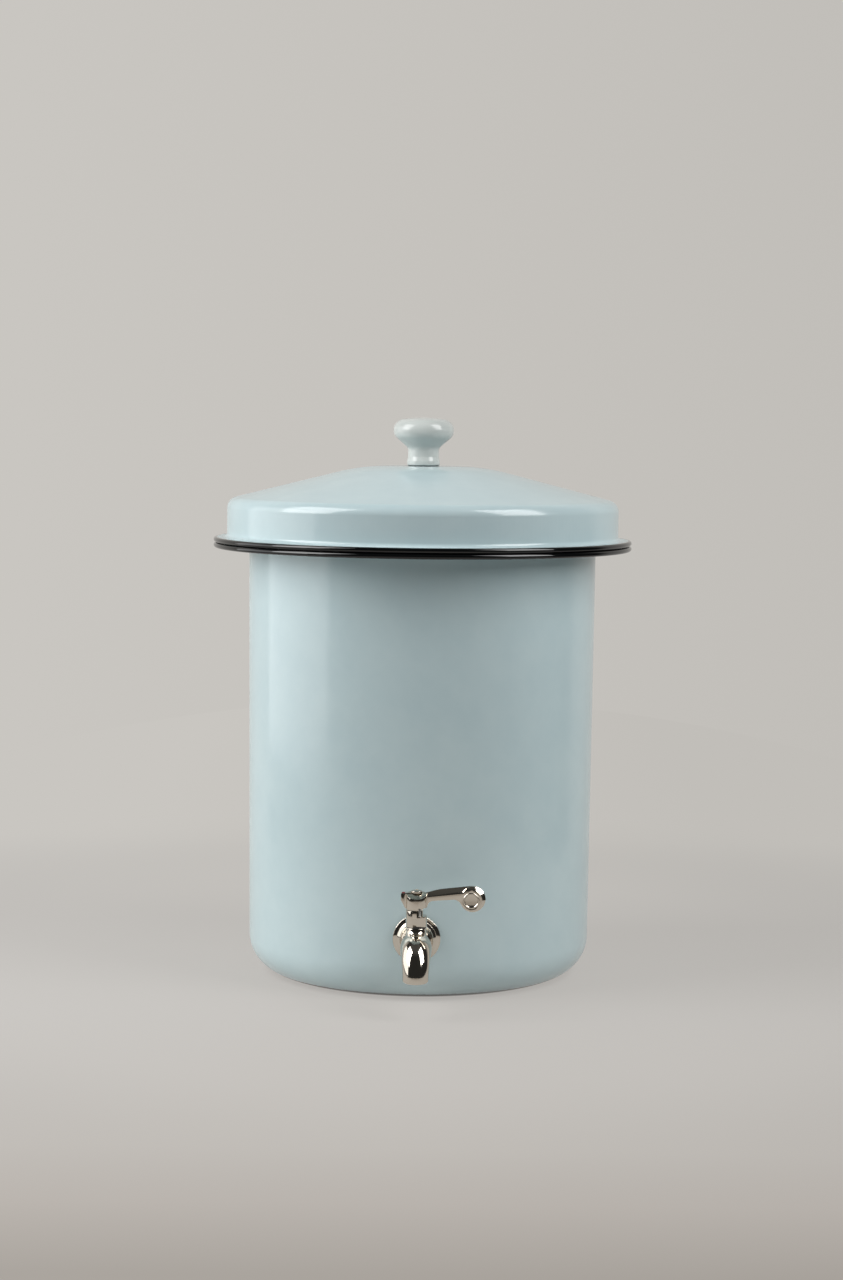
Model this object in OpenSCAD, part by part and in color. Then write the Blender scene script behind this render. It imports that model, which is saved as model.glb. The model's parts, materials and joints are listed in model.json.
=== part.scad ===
// Gravity water filter: an enamelled steel bucket with a clay filter pot, a lid and a lever tap.
// Origin on the bucket's axis at the surface it stands on, +Z up, tap towards -Y. Millimetres.

/* [Bucket] */
// Outer radius of the bucket's wall at its top
bucket_top_r = 150; // [120:1:200]
// Amount by which the wall's radius shrinks down to the bottom corner
wall_taper = 2; // [0:0.5:6]
// Height of the top face of the bucket's flange
bucket_h = 372.5; // [300:0.5:480]
// Outer radius of the bottom corner
corner_r = 32; // [15:1:34]
// Thickness of the enamelled sheet of bucket and lid
sheet = 1.6; // [1:0.1:2]
// Radius under the flange, where it leaves the wall
neck_r = 3; // [2:0.5:6]
// Width of the flat ring that the bucket stands on
foot_w = 14; // [8:1:30]
// Height by which the middle of the bottom is pressed in
bottom_rise = 3; // [1:0.5:6]
// Width of the slope round the pressed middle
bottom_slope_w = 6; // [4:0.5:12]

/* [Rim] */
// Width of the lid's flange outside the skirt, up to the end of the curls
ledge_w = 11.6; // [10:0.2:20]
// Radius of the curl's round section
curl_r = 2.2; // [2:0.1:3]
// Radius of the hollow inside the curl
curl_hole_r = 0.9; // [0.6:0.1:1.1]
// Gap of the open seam of the curl
curl_seam = 0.6; // [0.4:0.1:0.8]

/* [Lid] */
// Distance by which the lid's skirt stands outside the bucket's wall
lid_overhang = 19.2; // [17:0.2:26]
// Height of the lid's flat middle above the bucket's flange
lid_h = 66.8; // [62:0.2:90]
// Slope of the lid's cone in degrees
lid_slope = 14.3; // [8:0.1:16]
// Radius of the shoulder between skirt and cone
shoulder_r = 10; // [6:0.5:16]
// Radius of the flat middle of the lid
lid_flat_r = 32; // [22:1:40]
// Radius of the curve from the flat middle to the cone
crown_r = 162; // [80:1:200]
// Radius between the skirt and the lid's flange
lid_fillet_r = 3.5; // [2:0.5:4]

/* [Knob] */
// Largest radius of the knob's head
knob_r = 26.1; // [20:0.1:30]
// Radius of the knob's neck
knob_neck_r = 13.4; // [11:0.1:14]
// Radius of the knob's foot
knob_foot_r = 14.2; // [13:0.1:17]
// Height of the foot's band
knob_foot_h = 5; // [3:0.5:6]
// Height at which the neck starts to flare
knob_neck_h = 12.1; // [9:0.1:16]
// Radius of the hollow between neck and head
knob_fillet_r = 6; // [4:0.5:8]
// Slope of the head's underside in degrees
knob_flare = 40.3; // [35:0.1:50]
// Radius of the head's rounded edge
knob_edge_r = 9.7; // [8:0.1:12]
// Radius of the head's domed top
knob_dome_r = 110; // [60:1:160]
// Thickness of the washer under the knob
knob_washer_t = 0.8; // [0.5:0.1:1.5]
// Depth of the threaded insert in the knob
insert_depth = 15; // [12:0.5:20]
// Outer radius of the threaded insert
insert_r = 4.6; // [4.2:0.1:6]
// Radius of the knob's screw
knob_screw_r = 3; // [2.5:0.1:3.5]
// Radius of the pan head of the knob's screw
knob_screw_head_r = 5.6; // [5.2:0.1:6.5]
// Height of the pan head of the knob's screw
knob_screw_head_h = 3.6; // [3:0.1:5]
// Radius of the metal washer inside the lid
inside_washer_r = 9; // [8:0.5:12]
// Thickness of the metal washer inside the lid
inside_washer_t = 1.2; // [0.8:0.1:2]
// Thickness of the rubber washer inside the lid
inside_rubber_t = 1; // [0.5:0.1:2]

/* [Filter] */
// Amount by which the pot's radius shrinks down to its bottom corner
pot_taper = 25; // [6:1:40]
// Height of the pot's bottom above the bucket's foot
pot_z = 150; // [110:1:200]
// Thickness of the clay wall
pot_wall = 14; // [10:0.5:18]
// Thickness of the clay bottom
pot_floor = 17; // [12:0.5:22]
// Outer radius of the pot's bottom corner
pot_corner_r = 26; // [22:1:34]
// Thickness of the pot's lip
lip_t = 15; // [10:0.5:17]
// Thickness of the plastic collar
collar_t = 2.4; // [2:0.1:3]
// Height of the collar's upright edge above the bucket's flange
collar_h = 13; // [8:0.5:16]
// Depth to which the collar's spigot reaches into the bucket
collar_spigot = 16; // [10:1:24]

/* [Tap] */
// Height of the tap's shank above the surface
tap_z = 55; // [52:0.5:90]
// Radius of the tap's round flange
flange_r = 19.65; // [17:0.05:20]
// Thickness of the flange at its bevelled rim
flange_t = 3.6; // [3:0.1:5]
// Width of the bevel around the flange
flange_bevel_w = 3.5; // [2.5:0.1:4]
// Radius of the round valve chamber
bulb_r = 12.85; // [12:0.05:14]
// Distance from the wall to the stem's axis
stem_reach = 36.8; // [34:0.2:44]
// Radius of the elbow's tube where it leaves the valve chamber
elbow_r = 12.7; // [12:0.05:12.8]
// Radius of the elbow's bend, on its centre line
bend_r = 22.3; // [18:0.1:26]
// Start of the bend in front of the stem's axis
bend_start = 1.5; // [0:0.1:6]
// Length of the straight nose below the bend
nose_l = 2; // [1.9:0.1:8]
// Radius of the nose
nose_r = 10.5; // [9.8:0.1:11]
// Rounding of the mouth's edge
mouth_round = 1.8; // [1:0.1:1.8]
// Radius of the outlet's bore
outlet_r = 7.2; // [6.2:0.1:7.4]
// Length of the outlet's bore
outlet_l = 10; // [6:0.5:10]
// Radius of the threaded shank
shank_r = 7.95; // [7:0.05:9]
// Length of the shank inside the bucket's wall
shank_l = 18; // [16:0.5:30]
// Radius of the water passage
passage_r = 4.2; // [3.8:0.1:4.8]
// Outer radius of the rubber seals
seal_r = 17; // [14:0.5:17]
// Least thickness of the rubber seals
seal_t = 1.2; // [0.8:0.1:2]
// Radius of the metal washer behind the nut
tap_washer_r = 15.5; // [14:0.5:17]
// Thickness of the metal washer behind the nut
tap_washer_t = 1.5; // [1:0.1:2]
// Width across the flats of the nut
nut_af = 24; // [21:1:28]
// Thickness of the nut
nut_t = 8; // [6:0.5:10]

/* [Valve] */
// Radius of the plug's chamber in the tap
chamber_r = 7; // [6.8:0.05:7.2]
// Depth of the plug's chamber below the shank's axis
chamber_depth = 8; // [7:0.1:8.5]
// Thickness of the plastic sleeve round the plug
sleeve_t = 1.35; // [1.2:0.05:1.5]
// Radius of the plug's cross port
port_r = 3.4; // [2.6:0.1:3.6]
// Height of the boss above the shank's axis
boss_h = 16.5; // [15.5:0.1:18]
// Radius of the boss
boss_r = 8.3; // [8.2:0.05:8.6]
// Thickness of the gasket under the bonnet
gasket_t = 0.6; // [0.4:0.1:1]
// Radius of the bonnet
bonnet_r = 8.55; // [8.4:0.05:8.7]
// Height of the bonnet's spanner flats
bonnet_flat_h = 7; // [5:0.1:9]
// Thickness of the collar above the flats, which holds the stop pin
bonnet_collar_t = 1.9; // [1.2:0.1:3]
// Height by which the bonnet's high side stands above the collar
bonnet_step = 4.6; // [3.5:0.1:6]
// Place of the step, to the right of the stem's axis
step_x = 0.4; // [-0.4:0.1:0.6]
// Distance of the bonnet's spanner flats from its axis
bonnet_flat = 6.5; // [6.3:0.05:7]
// Direction of the spanner flats in degrees
flat_turn = -69; // [-75:1:-60]
// Radius of the stop pin
pin_r = 1.1; // [0.8:0.05:1.15]
// Distance of the stop pin from the stem's axis
pin_reach = 7.2; // [7.1:0.05:7.3]
// Direction of the stop pin in degrees
pin_turn = -68; // [-72:1:-60]
// Radius of the stem
stem_r = 4; // [3.6:0.05:4.1]
// Side of the stem's square end
stem_square = 5.4; // [5:0.05:5.6]
// Radius of the O-rings' round section
oring_r = 0.9; // [0.7:0.05:0.95]
// Radius of the thrust washer under the lever
thrust_r = 5.4; // [5:0.05:5.5]
// Thickness of the thrust washer
thrust_t = 0.7; // [0.5:0.05:1]

/* [Lever] */
// Radius of the lever's hub
hub_r = 8.75; // [8.6:0.05:9]
// Height of the hub's side
hub_h = 13; // [12.5:0.1:15]
// Height of the dome on the hub
hub_dome = 2.1; // [1.6:0.1:2.6]
// Depth of the bevels on the front and back of the hub
hub_bevel = 4.2; // [3:0.1:5]
// Slope of the hub's bevels in degrees
bevel_slope = 33; // [28:1:38]
// Distance from the stem's axis to the centre of the lever's round end
lever_reach = 45.3; // [40:0.1:60]
// Radius of the lever's round end
lever_end_r = 10.3; // [9:0.1:12]
// Height of the centre of the round end above the hub's underside
lever_end_z = 8.9; // [8:0.1:11]
// Thickness of the arm and of its round end
arm_t = 7.8; // [6:0.1:9]
// Slope of the arm's bevels in degrees
arm_slope = 52; // [45:1:58]
// Rise of the arm from the hub to the round end
arm_rise = 4.8; // [3:0.1:6]
// Radius of the flat face of the round end
end_face_r = 8.8; // [8:0.1:9.6]
// Shift of the flat face from the centre of the round end towards the hub
end_face_shift = 1.2; // [0:0.1:1.5]
// Drop of the flat face below the centre of the round end
end_face_drop = 1.2; // [0:0.1:1.5]
// Radius of the plain disc in the round end
disc_r = 6.6; // [5:0.1:7]
// Depth of the plain disc's recess
disc_depth = 0.9; // [0.6:0.1:1.2]
// Reach of the short tail behind the hub
tail_reach = 12.6; // [11.5:0.1:14]
// Radius of the coloured dot on the tail
dot_r = 1.4; // [1:0.1:1.6]
// Depth of the coloured dot's hole
dot_depth = 1.6; // [1:0.1:2.4]
// Radius of the cap screw's head
cap_r = 4.4; // [4:0.1:5]
// Height of the cap screw's head
cap_h = 2.6; // [2.2:0.1:3.2]
// Radius of the cap screw's thread
cap_thread_r = 2; // [1.6:0.1:2.2]
// Depth to which the cap screw reaches into the stem
cap_thread_l = 7; // [5:0.5:9]
// Width across the flats of the cap screw's socket
cap_socket_af = 2.6; // [2:0.1:3]
// Quarter turn between closed and open, in degrees
lever_travel = 90; // [60:1:90]

/* [Fits] */
// Gap between parts that are lifted off each other, such as the lid's rim and the bucket's flange
rest_gap = 0.3; // [0.2:0.05:0.5]
// Radial running clearance of stem and plug
run_fit = 0.05; // [0.02:0.01:0.1]
// Clearance of parts that stay together, such as a pin in its hole
seat_fit = 0.02; // [0.01:0.01:0.05]
// Clearance between rubber or plastic and the sheet that it lies against
soft_fit = 0.12; // [0.1:0.01:0.2]
// Clearance of a screw or shank in a plain hole
hole_fit = 0.4; // [0.2:0.05:0.6]
// Gap round the collar and the pot's lip, which lie loose in one another
loose_fit = 0.8; // [0.5:0.1:1.5]
// Gap between the pot's wall and the collar's spigot
pot_gap = 2.6; // [1:0.1:5]
// Clearance between the stop pin and the ends of its groove
stop_gap = 0.3; // [0.2:0.05:0.5]

/* [Hidden] */
$fn = 96;
arc_steps = 10;
wall_steps = 720;
eps = 0.01;

// Radii of the shells
bucket_bottom_r = bucket_top_r - wall_taper;
lid_r = bucket_top_r + lid_overhang;
rim_r = lid_r + ledge_w;
foot_inner_r = bucket_bottom_r - corner_r - foot_w;

// Heights of the rims and of the lid
bucket_curl_z = bucket_h - curl_r;
neck_z = bucket_h - sheet - neck_r;
curl_centre_r = rim_r - curl_r;
flange_end_r = curl_centre_r - curl_r * 0.15;
lid_curl_z = bucket_h + rest_gap + curl_r;
lid_flange_z = lid_curl_z + curl_r;
skirt_z = lid_flange_z + lid_fillet_r;
lid_top_z = bucket_h + lid_h;
shoulder_z = lid_top_z - crown_r
    + (crown_r - shoulder_r - (lid_r - shoulder_r - lid_flat_r) * sin(lid_slope)) / cos(lid_slope);
lid_hole_r = knob_screw_r + hole_fit;

// The knob's head sits on the slope of its underside, and its dome touches the rounded edge
knob_z = lid_top_z + knob_washer_t;
knob_head_x = knob_r - knob_edge_r;
knob_head_z = knob_neck_h
    + ((knob_head_x - knob_neck_r - knob_fillet_r) * sin(knob_flare) + knob_edge_r + knob_fillet_r)
    / cos(knob_flare);
knob_dome_z = knob_head_z - sqrt(pow(knob_dome_r - knob_edge_r, 2) - pow(knob_head_x, 2));
knob_dome_turn = 90 - asin(knob_head_x / (knob_dome_r - knob_edge_r));
knob_screw_top = lid_top_z + insert_depth - 3;
knob_screw_seat = lid_top_z - sheet - inside_rubber_t - inside_washer_t;

// The pot hangs by its lip on the collar, and the collar lies on the bucket's flange
collar_spigot_r = bucket_top_r - sheet - loose_fit;
collar_inner_r = collar_spigot_r - collar_t;
collar_edge_r = lid_r - sheet - loose_fit;
lip_r = collar_edge_r - collar_t - loose_fit;
lip_z = bucket_h + collar_t;
pot_top_r = collar_inner_r - pot_gap;
pot_bottom_r = pot_top_r - pot_taper;

// Distances along the shank, counted from the bucket's axis
wall_r = bucket_r_at(tap_z);
flange_back = wall_r + seal_t;
stem_d = wall_r + stem_reach;
bend_d = stem_d + bend_start;
spout_d = bend_d + bend_r;
inner_wall_r = wall_r - sheet;
inner_seal_edge = sqrt(pow(inner_wall_r - soft_fit, 2) - pow(seal_r, 2));
inner_seal_face = inner_seal_edge - seal_t;
nut_face = inner_seal_face - tap_washer_t;
shank_end = inner_wall_r - shank_l;
shank_hole_r = shank_r + hole_fit;
mouth_z = -bend_r - nose_l;
elbow_rings = 12;
barrel_fillet_r = 0.6;
flange_bevel = min(flange_bevel_w, flange_r - elbow_r - barrel_fillet_r - 1.3);
barrel_root_r = flange_r - flange_bevel - barrel_fillet_r - 0.3;

// Heights above the shank's axis
sleeve_top = 8.4;
bonnet_z = boss_h + gasket_t;
bonnet_collar_z = bonnet_z + bonnet_flat_h;
bonnet_low_z = bonnet_collar_z + bonnet_collar_t;
bonnet_high_z = bonnet_low_z + bonnet_step;
hub_z = bonnet_high_z + thrust_t;
hub_top_z = hub_z + hub_h + hub_dome;
end_face_x = lever_reach - end_face_shift;
cap_seat_z = hub_top_z - 1.8;
stem_top_z = cap_seat_z - 1.8;
groove_depth = 1.6;
pin_top_z = hub_z + groove_depth - 0.5;
groove_r = pin_reach - pin_r - stop_gap;
groove_margin = asin((pin_r + stop_gap) / pin_reach);
plug_r = chamber_r - seat_fit - sleeve_t - run_fit;
spigot_r = chamber_r - seat_fit;
oring_track_r = stem_r + run_fit + oring_r;
oring_z = [sleeve_top + 3, sleeve_top + 6.2];
collar_round_r = thrust_r + 0.1;

tail_top = 13.2;
dot_x = dot_r + 0.6 - tail_reach;

// Outer radius of the bucket's wall at a height
function bucket_r_at(z) = bucket_bottom_r
    + (bucket_top_r - bucket_bottom_r) * (z - corner_r) / (bucket_h - corner_r);

// Points of an arc from one angle to another
function arc(c, r, from, to) = [
    for (i = [0:arc_steps]) c + r * [cos(from + (to - from) * i / arc_steps), sin(from + (to - from) * i / arc_steps)]
];

function reversed(list) = [for (i = [len(list) - 1:-1:0]) list[i]];

// Each sheet path is the outside for inset 0, and the inside for inset sheet
function base_path(inset) = concat(
    [
        [0, bottom_rise + inset],
        [foot_inner_r - bottom_slope_w, bottom_rise + inset],
        [foot_inner_r, inset]
    ],
    arc([bucket_bottom_r - corner_r, corner_r], corner_r - inset, -90, 0)
);

function wall_path(inset) = [
    [bucket_bottom_r - inset, corner_r],
    [bucket_top_r - inset, neck_z]
];

function bucket_rim_path(inset) = concat(
    arc([bucket_top_r + neck_r, neck_z], neck_r + inset, 180, 90),
    [[flange_end_r, bucket_h - sheet + inset]]
);

function lid_path(inset) = concat(
    [[lid_hole_r, lid_top_z - inset]],
    arc([lid_flat_r, lid_top_z - crown_r], crown_r - inset, 90, 90 - lid_slope),
    arc([lid_r - shoulder_r, shoulder_z], shoulder_r - inset, 90 - lid_slope, 0),
    [[lid_r - inset, skirt_z]]
);

function lid_rim_path(inset) = concat(
    arc([lid_r + lid_fillet_r, skirt_z], lid_fillet_r + inset, 180, 270),
    [[flange_end_r, lid_flange_z - inset]]
);

// Half section of a curled rim, rolled under and left open at its seam
module curl_section(z) {
    translate([curl_centre_r, z]) difference() {
        circle(curl_r);
        circle(curl_hole_r);
        translate([-curl_r - 1, -curl_seam]) square([curl_r + 1, curl_seam]);
    }
}

// A ring or disc standing on z, with a hole
module ring(outer_r, hole_r, z, t) {
    difference() {
        translate([0, 0, z]) cylinder(r = outer_r, h = t);
        translate([0, 0, z - 1]) cylinder(r = hole_r, h = t + 2);
    }
}

// Turns a shape whose +Z points away from the bucket's axis into the tap's place
module along_shank() {
    translate([0, 0, tap_z]) rotate([90, 0, 0]) children();
}

// Places a shape on the stem's axis, with heights counted from the shank's axis
module on_stem() {
    translate([0, -stem_d, tap_z]) children();
}

// The bucket is one enamelled shell, in three lengths that meet where its section bends
module bucket_base() {
    color("#b4c8cc") rotate_extrude() polygon(concat(base_path(0), reversed(base_path(sheet))));
}

module bucket_wall() {
    color("#b4c8cc") difference() {
        rotate_extrude() polygon(concat(wall_path(0), reversed(wall_path(sheet))));
        along_shank() translate([0, 0, inner_wall_r - 10]) cylinder(r = shank_hole_r, h = 20);
    }
}

module bucket_rim() {
    color("#b4c8cc") rotate_extrude() {
        polygon(concat(bucket_rim_path(0), reversed(bucket_rim_path(sheet))));
        curl_section(bucket_curl_z);
    }
}

module filter_pot() {
    inner_top_r = pot_top_r - pot_wall;
    inner_bottom_r = pot_bottom_r - pot_wall;
    inner_corner_r = pot_corner_r - 8;
    lip_round = 3;
    floor_z = pot_z + pot_floor;
    top_z = lip_z + lip_t;
    color("#b5643c") rotate_extrude() polygon(concat(
        [[0, pot_z]],
        arc([pot_bottom_r - pot_corner_r, pot_z + pot_corner_r], pot_corner_r, -90, 0),
        [[pot_top_r, lip_z], [lip_r - lip_round, lip_z]],
        arc([lip_r - lip_round, lip_z + lip_round], lip_round, -90, 0),
        arc([lip_r - lip_round, top_z - lip_round], lip_round, 0, 90),
        arc([inner_top_r + lip_round, top_z - lip_round], lip_round, 90, 180),
        arc([inner_bottom_r - inner_corner_r, floor_z + inner_corner_r], inner_corner_r, 0, -90),
        [[0, floor_z]]
    ));
}

module filter_collar() {
    color("#e9ebe6") rotate_extrude() polygon([
        [collar_inner_r, bucket_h - collar_spigot],
        [collar_spigot_r, bucket_h - collar_spigot],
        [collar_spigot_r, bucket_h],
        [collar_edge_r, bucket_h],
        [collar_edge_r, bucket_h + collar_h],
        [collar_edge_r - collar_t, bucket_h + collar_h],
        [collar_edge_r - collar_t, lip_z],
        [collar_inner_r, lip_z]
    ]);
}

// The lid is one enamelled shell too, in two lengths that meet at the foot of its skirt
module lid() {
    color("#b4c8cc") rotate_extrude() polygon(concat(lid_path(sheet), reversed(lid_path(0))));
}

module lid_rim() {
    color("#b4c8cc") rotate_extrude() {
        polygon(concat(lid_rim_path(sheet), reversed(lid_rim_path(0))));
        curl_section(lid_curl_z);
    }
}

module lid_knob() {
    foot_round = 1.2;
    neck_turn = 90 + knob_flare;
    head_turn = knob_flare - 90;
    color("#d8dedd") translate([0, 0, knob_z]) difference() {
        rotate_extrude() polygon(concat(
            [[0, 0]],
            arc([knob_foot_r - foot_round, foot_round], foot_round, -90, 0),
            [[knob_foot_r, knob_foot_h - 1.5], [knob_neck_r, knob_foot_h + 3]],
            arc([knob_neck_r + knob_fillet_r, knob_neck_h], knob_fillet_r, 180, neck_turn),
            arc([knob_head_x, knob_head_z], knob_edge_r, head_turn, knob_dome_turn),
            arc([0, knob_dome_z], knob_dome_r, knob_dome_turn, 90)
        ));
        translate([0, 0, -1]) cylinder(r = insert_r + seat_fit, h = insert_depth + 1);
    }
}

module knob_insert() {
    color("#b8963e") ring(insert_r, knob_screw_r + seat_fit, knob_z, insert_depth - eps);
}

module knob_washer() {
    color("#7c8484") ring(knob_foot_r - 1, knob_screw_r + hole_fit, lid_top_z, knob_washer_t);
}

module knob_inner_seal() {
    seal_z = lid_top_z - sheet - inside_rubber_t;
    color("#3a3a3a") ring(inside_washer_r - 0.5, knob_screw_r + hole_fit, seal_z, inside_rubber_t);
}

module knob_inner_washer() {
    color("#c8cacb") ring(inside_washer_r, knob_screw_r + hole_fit, knob_screw_seat, inside_washer_t);
}

module knob_screw() {
    head_round = 1.4;
    slot_w = 1.4;
    slot_depth = 1.5;
    color("#c8cacb") difference() {
        rotate_extrude() polygon(concat(
            [[0, knob_screw_seat - knob_screw_head_h]],
            arc(
                [knob_screw_head_r - head_round, knob_screw_seat - knob_screw_head_h + head_round],
                head_round, -90, 0
            ),
            [
                [knob_screw_head_r, knob_screw_seat],
                [knob_screw_r, knob_screw_seat],
                [knob_screw_r, knob_screw_top],
                [0, knob_screw_top]
            ]
        ));
        for (turn = [0, 90]) {
            rotate([0, 0, turn])
                translate([-knob_screw_head_r / 2, -slot_w / 2, knob_screw_seat - knob_screw_head_h - 1])
                    cube([knob_screw_head_r, slot_w, slot_depth + 1]);
        }
    }
}

// The flange's bevelled rim and its shallow face, as a half section along the shank
module flange_section() {
    edge = 0.9;
    root = flange_back + flange_t + 0.2 + barrel_fillet_r;
    length = stem_d - root;
    drop = barrel_root_r - elbow_r;
    flare_r = (pow(length, 2) + pow(drop, 2)) / (2 * drop);
    polygon(concat(
        [[0, flange_back], [flange_r, flange_back]],
        arc([flange_r - edge, flange_back + 2 * edge], edge, 0, 50),
        [
            [flange_r - flange_bevel, flange_back + flange_t],
            [barrel_root_r + barrel_fillet_r, flange_back + flange_t + 0.2]
        ],
        arc([barrel_root_r + barrel_fillet_r, root], barrel_fillet_r, -90, -180),
        arc([elbow_r + flare_r, stem_d], flare_r, 180 + asin(length / flare_r), 180),
        [[0, stem_d]]
    ));
}

// The valve chamber's shoulder and boss, as a half section on the stem's axis
module boss_section() {
    shoulder_r = 16;
    shoulder_z = 2.5;
    polygon(concat(
        [[0, 0], [elbow_r, 0]],
        arc([elbow_r - shoulder_r, shoulder_z], shoulder_r, 0, 28),
        [
            [boss_r + 0.3, boss_h - 2.3],
            [boss_r, boss_h - 1.3],
            [boss_r, boss_h],
            [0, boss_h]
        ]
    ));
}

// The short nose below the bend, as a half section on the outlet's axis
module nose_section() {
    polygon(concat(
        [[0, 1 - bend_r], [nose_r, 1 - bend_r]],
        arc([nose_r - mouth_round, mouth_z + mouth_round], mouth_round, 0, -90),
        [[0, mouth_z]]
    ));
}

// A piece of a bend of tube radius r from the shank's direction to straight down
module bend(r, start = 0, turn = 90) {
    translate([0, -bend_d, -bend_r]) rotate([180, -90, 0]) rotate([0, 0, start])
        rotate_extrude(angle = turn) translate([bend_r, 0]) circle(r);
}

// The elbow narrows ring by ring on its way down to the nose
module elbow() {
    ring_turn = 90 / elbow_rings;
    lap = 1;
    for (i = [0:elbow_rings - 1]) {
        narrowing = pow((i + 0.5) / elbow_rings, 1.6);
        bend(elbow_r - (elbow_r - nose_r - 0.1) * narrowing, max(i * ring_turn - lap, 0),
            i == 0 ? ring_turn : ring_turn + lap);
    }
}

module tap_body() {
    color("#c9c7c2") difference() {
        union() {
            along_shank() {
                translate([0, 0, shank_end]) cylinder(r = shank_r, h = flange_back - shank_end + 1);
                rotate_extrude() flange_section();
            }
            on_stem() {
                sphere(bulb_r);
                rotate_extrude() boss_section();
            }
            translate([0, 0, tap_z]) {
                translate([0, -stem_d, 0]) rotate([90, 0, 0]) cylinder(r = elbow_r, h = bend_start + eps);
                elbow();
                translate([0, -spout_d, 0]) rotate_extrude() nose_section();
            }
        }
        along_shank() translate([0, 0, shank_end - 1]) cylinder(r = passage_r, h = stem_d - shank_end + 1);
        translate([0, 0, tap_z]) {
            translate([0, -stem_d, 0]) rotate([90, 0, 0]) cylinder(r = passage_r, h = bend_start + eps);
            bend(passage_r);
            translate([0, -spout_d, mouth_z - 1]) cylinder(r = outlet_r, h = outlet_l + 1);
        }
        on_stem() translate([0, 0, -chamber_depth]) cylinder(r = chamber_r, h = chamber_depth + boss_h + 1);
    }
}

module tap_outer_seal() {
    color("#2e2e2e") difference() {
        along_shank() ring(seal_r, shank_r + hole_fit, wall_r - 4, flange_back - wall_r + 4);
        translate([0, 0, corner_r]) cylinder(
            r1 = bucket_bottom_r + soft_fit,
            r2 = bucket_top_r + soft_fit,
            h = bucket_h - corner_r,
            $fn = wall_steps
        );
    }
}

module tap_inner_seal() {
    color("#2e2e2e") intersection() {
        along_shank() ring(seal_r, shank_r + hole_fit, inner_seal_face, wall_r - inner_seal_face);
        translate([0, 0, corner_r]) cylinder(
            r1 = bucket_bottom_r - sheet - soft_fit,
            r2 = bucket_top_r - sheet - soft_fit,
            h = bucket_h - corner_r,
            $fn = wall_steps
        );
    }
}

module tap_washer() {
    color("#c8cacb") along_shank() ring(tap_washer_r, shank_r + hole_fit, nut_face, tap_washer_t);
}

module tap_nut() {
    corner_reach = nut_af / 2 / cos(30);
    color("#c8cacb") along_shank() difference() {
        intersection() {
            translate([0, 0, nut_face - nut_t]) cylinder(r = corner_reach, h = nut_t, $fn = 6);
            translate([0, 0, nut_face - nut_t])
                cylinder(r1 = nut_af / 2 + 0.4, r2 = nut_af / 2 + 0.4 + nut_t * 1.7, h = nut_t);
        }
        translate([0, 0, nut_face - nut_t - 1]) cylinder(r = shank_r + seat_fit, h = nut_t + 2);
    }
}

module plug_sleeve() {
    color("#f0f0ec") on_stem() difference() {
        ring(chamber_r - seat_fit, plug_r + run_fit, -chamber_depth, chamber_depth + sleeve_top);
        translate([0, chamber_r + 1, 0]) rotate([90, 0, 0]) cylinder(r = port_r + 0.1, h = 2 * chamber_r + 2);
    }
}

module valve_plug() {
    color("#c9c7c2") on_stem() difference() {
        union() {
            translate([0, 0, rest_gap - chamber_depth])
                cylinder(r = plug_r, h = chamber_depth + sleeve_top - rest_gap);
            cylinder(r = stem_r, h = hub_z);
            translate([-stem_square / 2, -stem_square / 2, hub_z - 1])
                cube([stem_square, stem_square, stem_top_z - hub_z + 1]);
        }
        translate([-chamber_r, 0, 0]) rotate([0, 90, 0]) cylinder(r = port_r, h = 2 * chamber_r);
        translate([0, 0, stem_top_z - cap_thread_l - 0.5]) cylinder(r = cap_thread_r + seat_fit, h = cap_thread_l + 1);
    }
}

module bonnet_gasket() {
    color("#2e2e2e") on_stem() ring(boss_r - 0.1, chamber_r, boss_h, gasket_t);
}

module bonnet() {
    low_h = bonnet_low_z - bonnet_z;
    spigot_z = sleeve_top + rest_gap;
    color("#c9c7c2") on_stem() difference() {
        union() {
            translate([0, 0, spigot_z]) cylinder(r = spigot_r, h = bonnet_z - spigot_z + 1);
            translate([0, 0, bonnet_z]) cylinder(r = bonnet_r, h = low_h);
            translate([0, 0, bonnet_z]) cylinder(r = collar_round_r, h = bonnet_high_z - bonnet_z);
            intersection() {
                translate([0, 0, bonnet_z]) cylinder(r = bonnet_r, h = bonnet_high_z - bonnet_z);
                translate([step_x - 2 * bonnet_r, -bonnet_r, bonnet_z])
                    cube([2 * bonnet_r, 2 * bonnet_r, bonnet_high_z - bonnet_z]);
            }
        }
        translate([0, 0, spigot_z - 1]) cylinder(r = stem_r + run_fit, h = bonnet_high_z - spigot_z + 2);
        for (z = oring_z) {
            translate([0, 0, z - oring_r - soft_fit])
                cylinder(r = oring_track_r + oring_r + soft_fit, h = 2 * (oring_r + soft_fit));
        }
        for (turn = [0, 180]) {
            rotate([0, 0, flat_turn + turn])
                translate([bonnet_flat, -bonnet_r, bonnet_z - 1]) cube([4, 2 * bonnet_r, bonnet_flat_h + 1]);
        }
        rotate([0, 0, pin_turn])
            translate([pin_reach, 0, bonnet_collar_z]) cylinder(r = pin_r + seat_fit, h = bonnet_step);
    }
}

module stem_o_rings() {
    color("#2e2e2e") on_stem() for (z = oring_z) {
        translate([0, 0, z]) rotate_extrude() translate([oring_track_r, 0]) circle(oring_r, $fn = 24);
    }
}

module stop_pin() {
    color("#c8cacb") on_stem() rotate([0, 0, pin_turn])
        translate([pin_reach, 0, bonnet_collar_z]) cylinder(r = pin_r, h = pin_top_z - bonnet_collar_z);
}

module thrust_washer() {
    color("#f0f0ec") on_stem() ring(thrust_r, stem_r + run_fit, bonnet_high_z, thrust_t);
}

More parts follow.
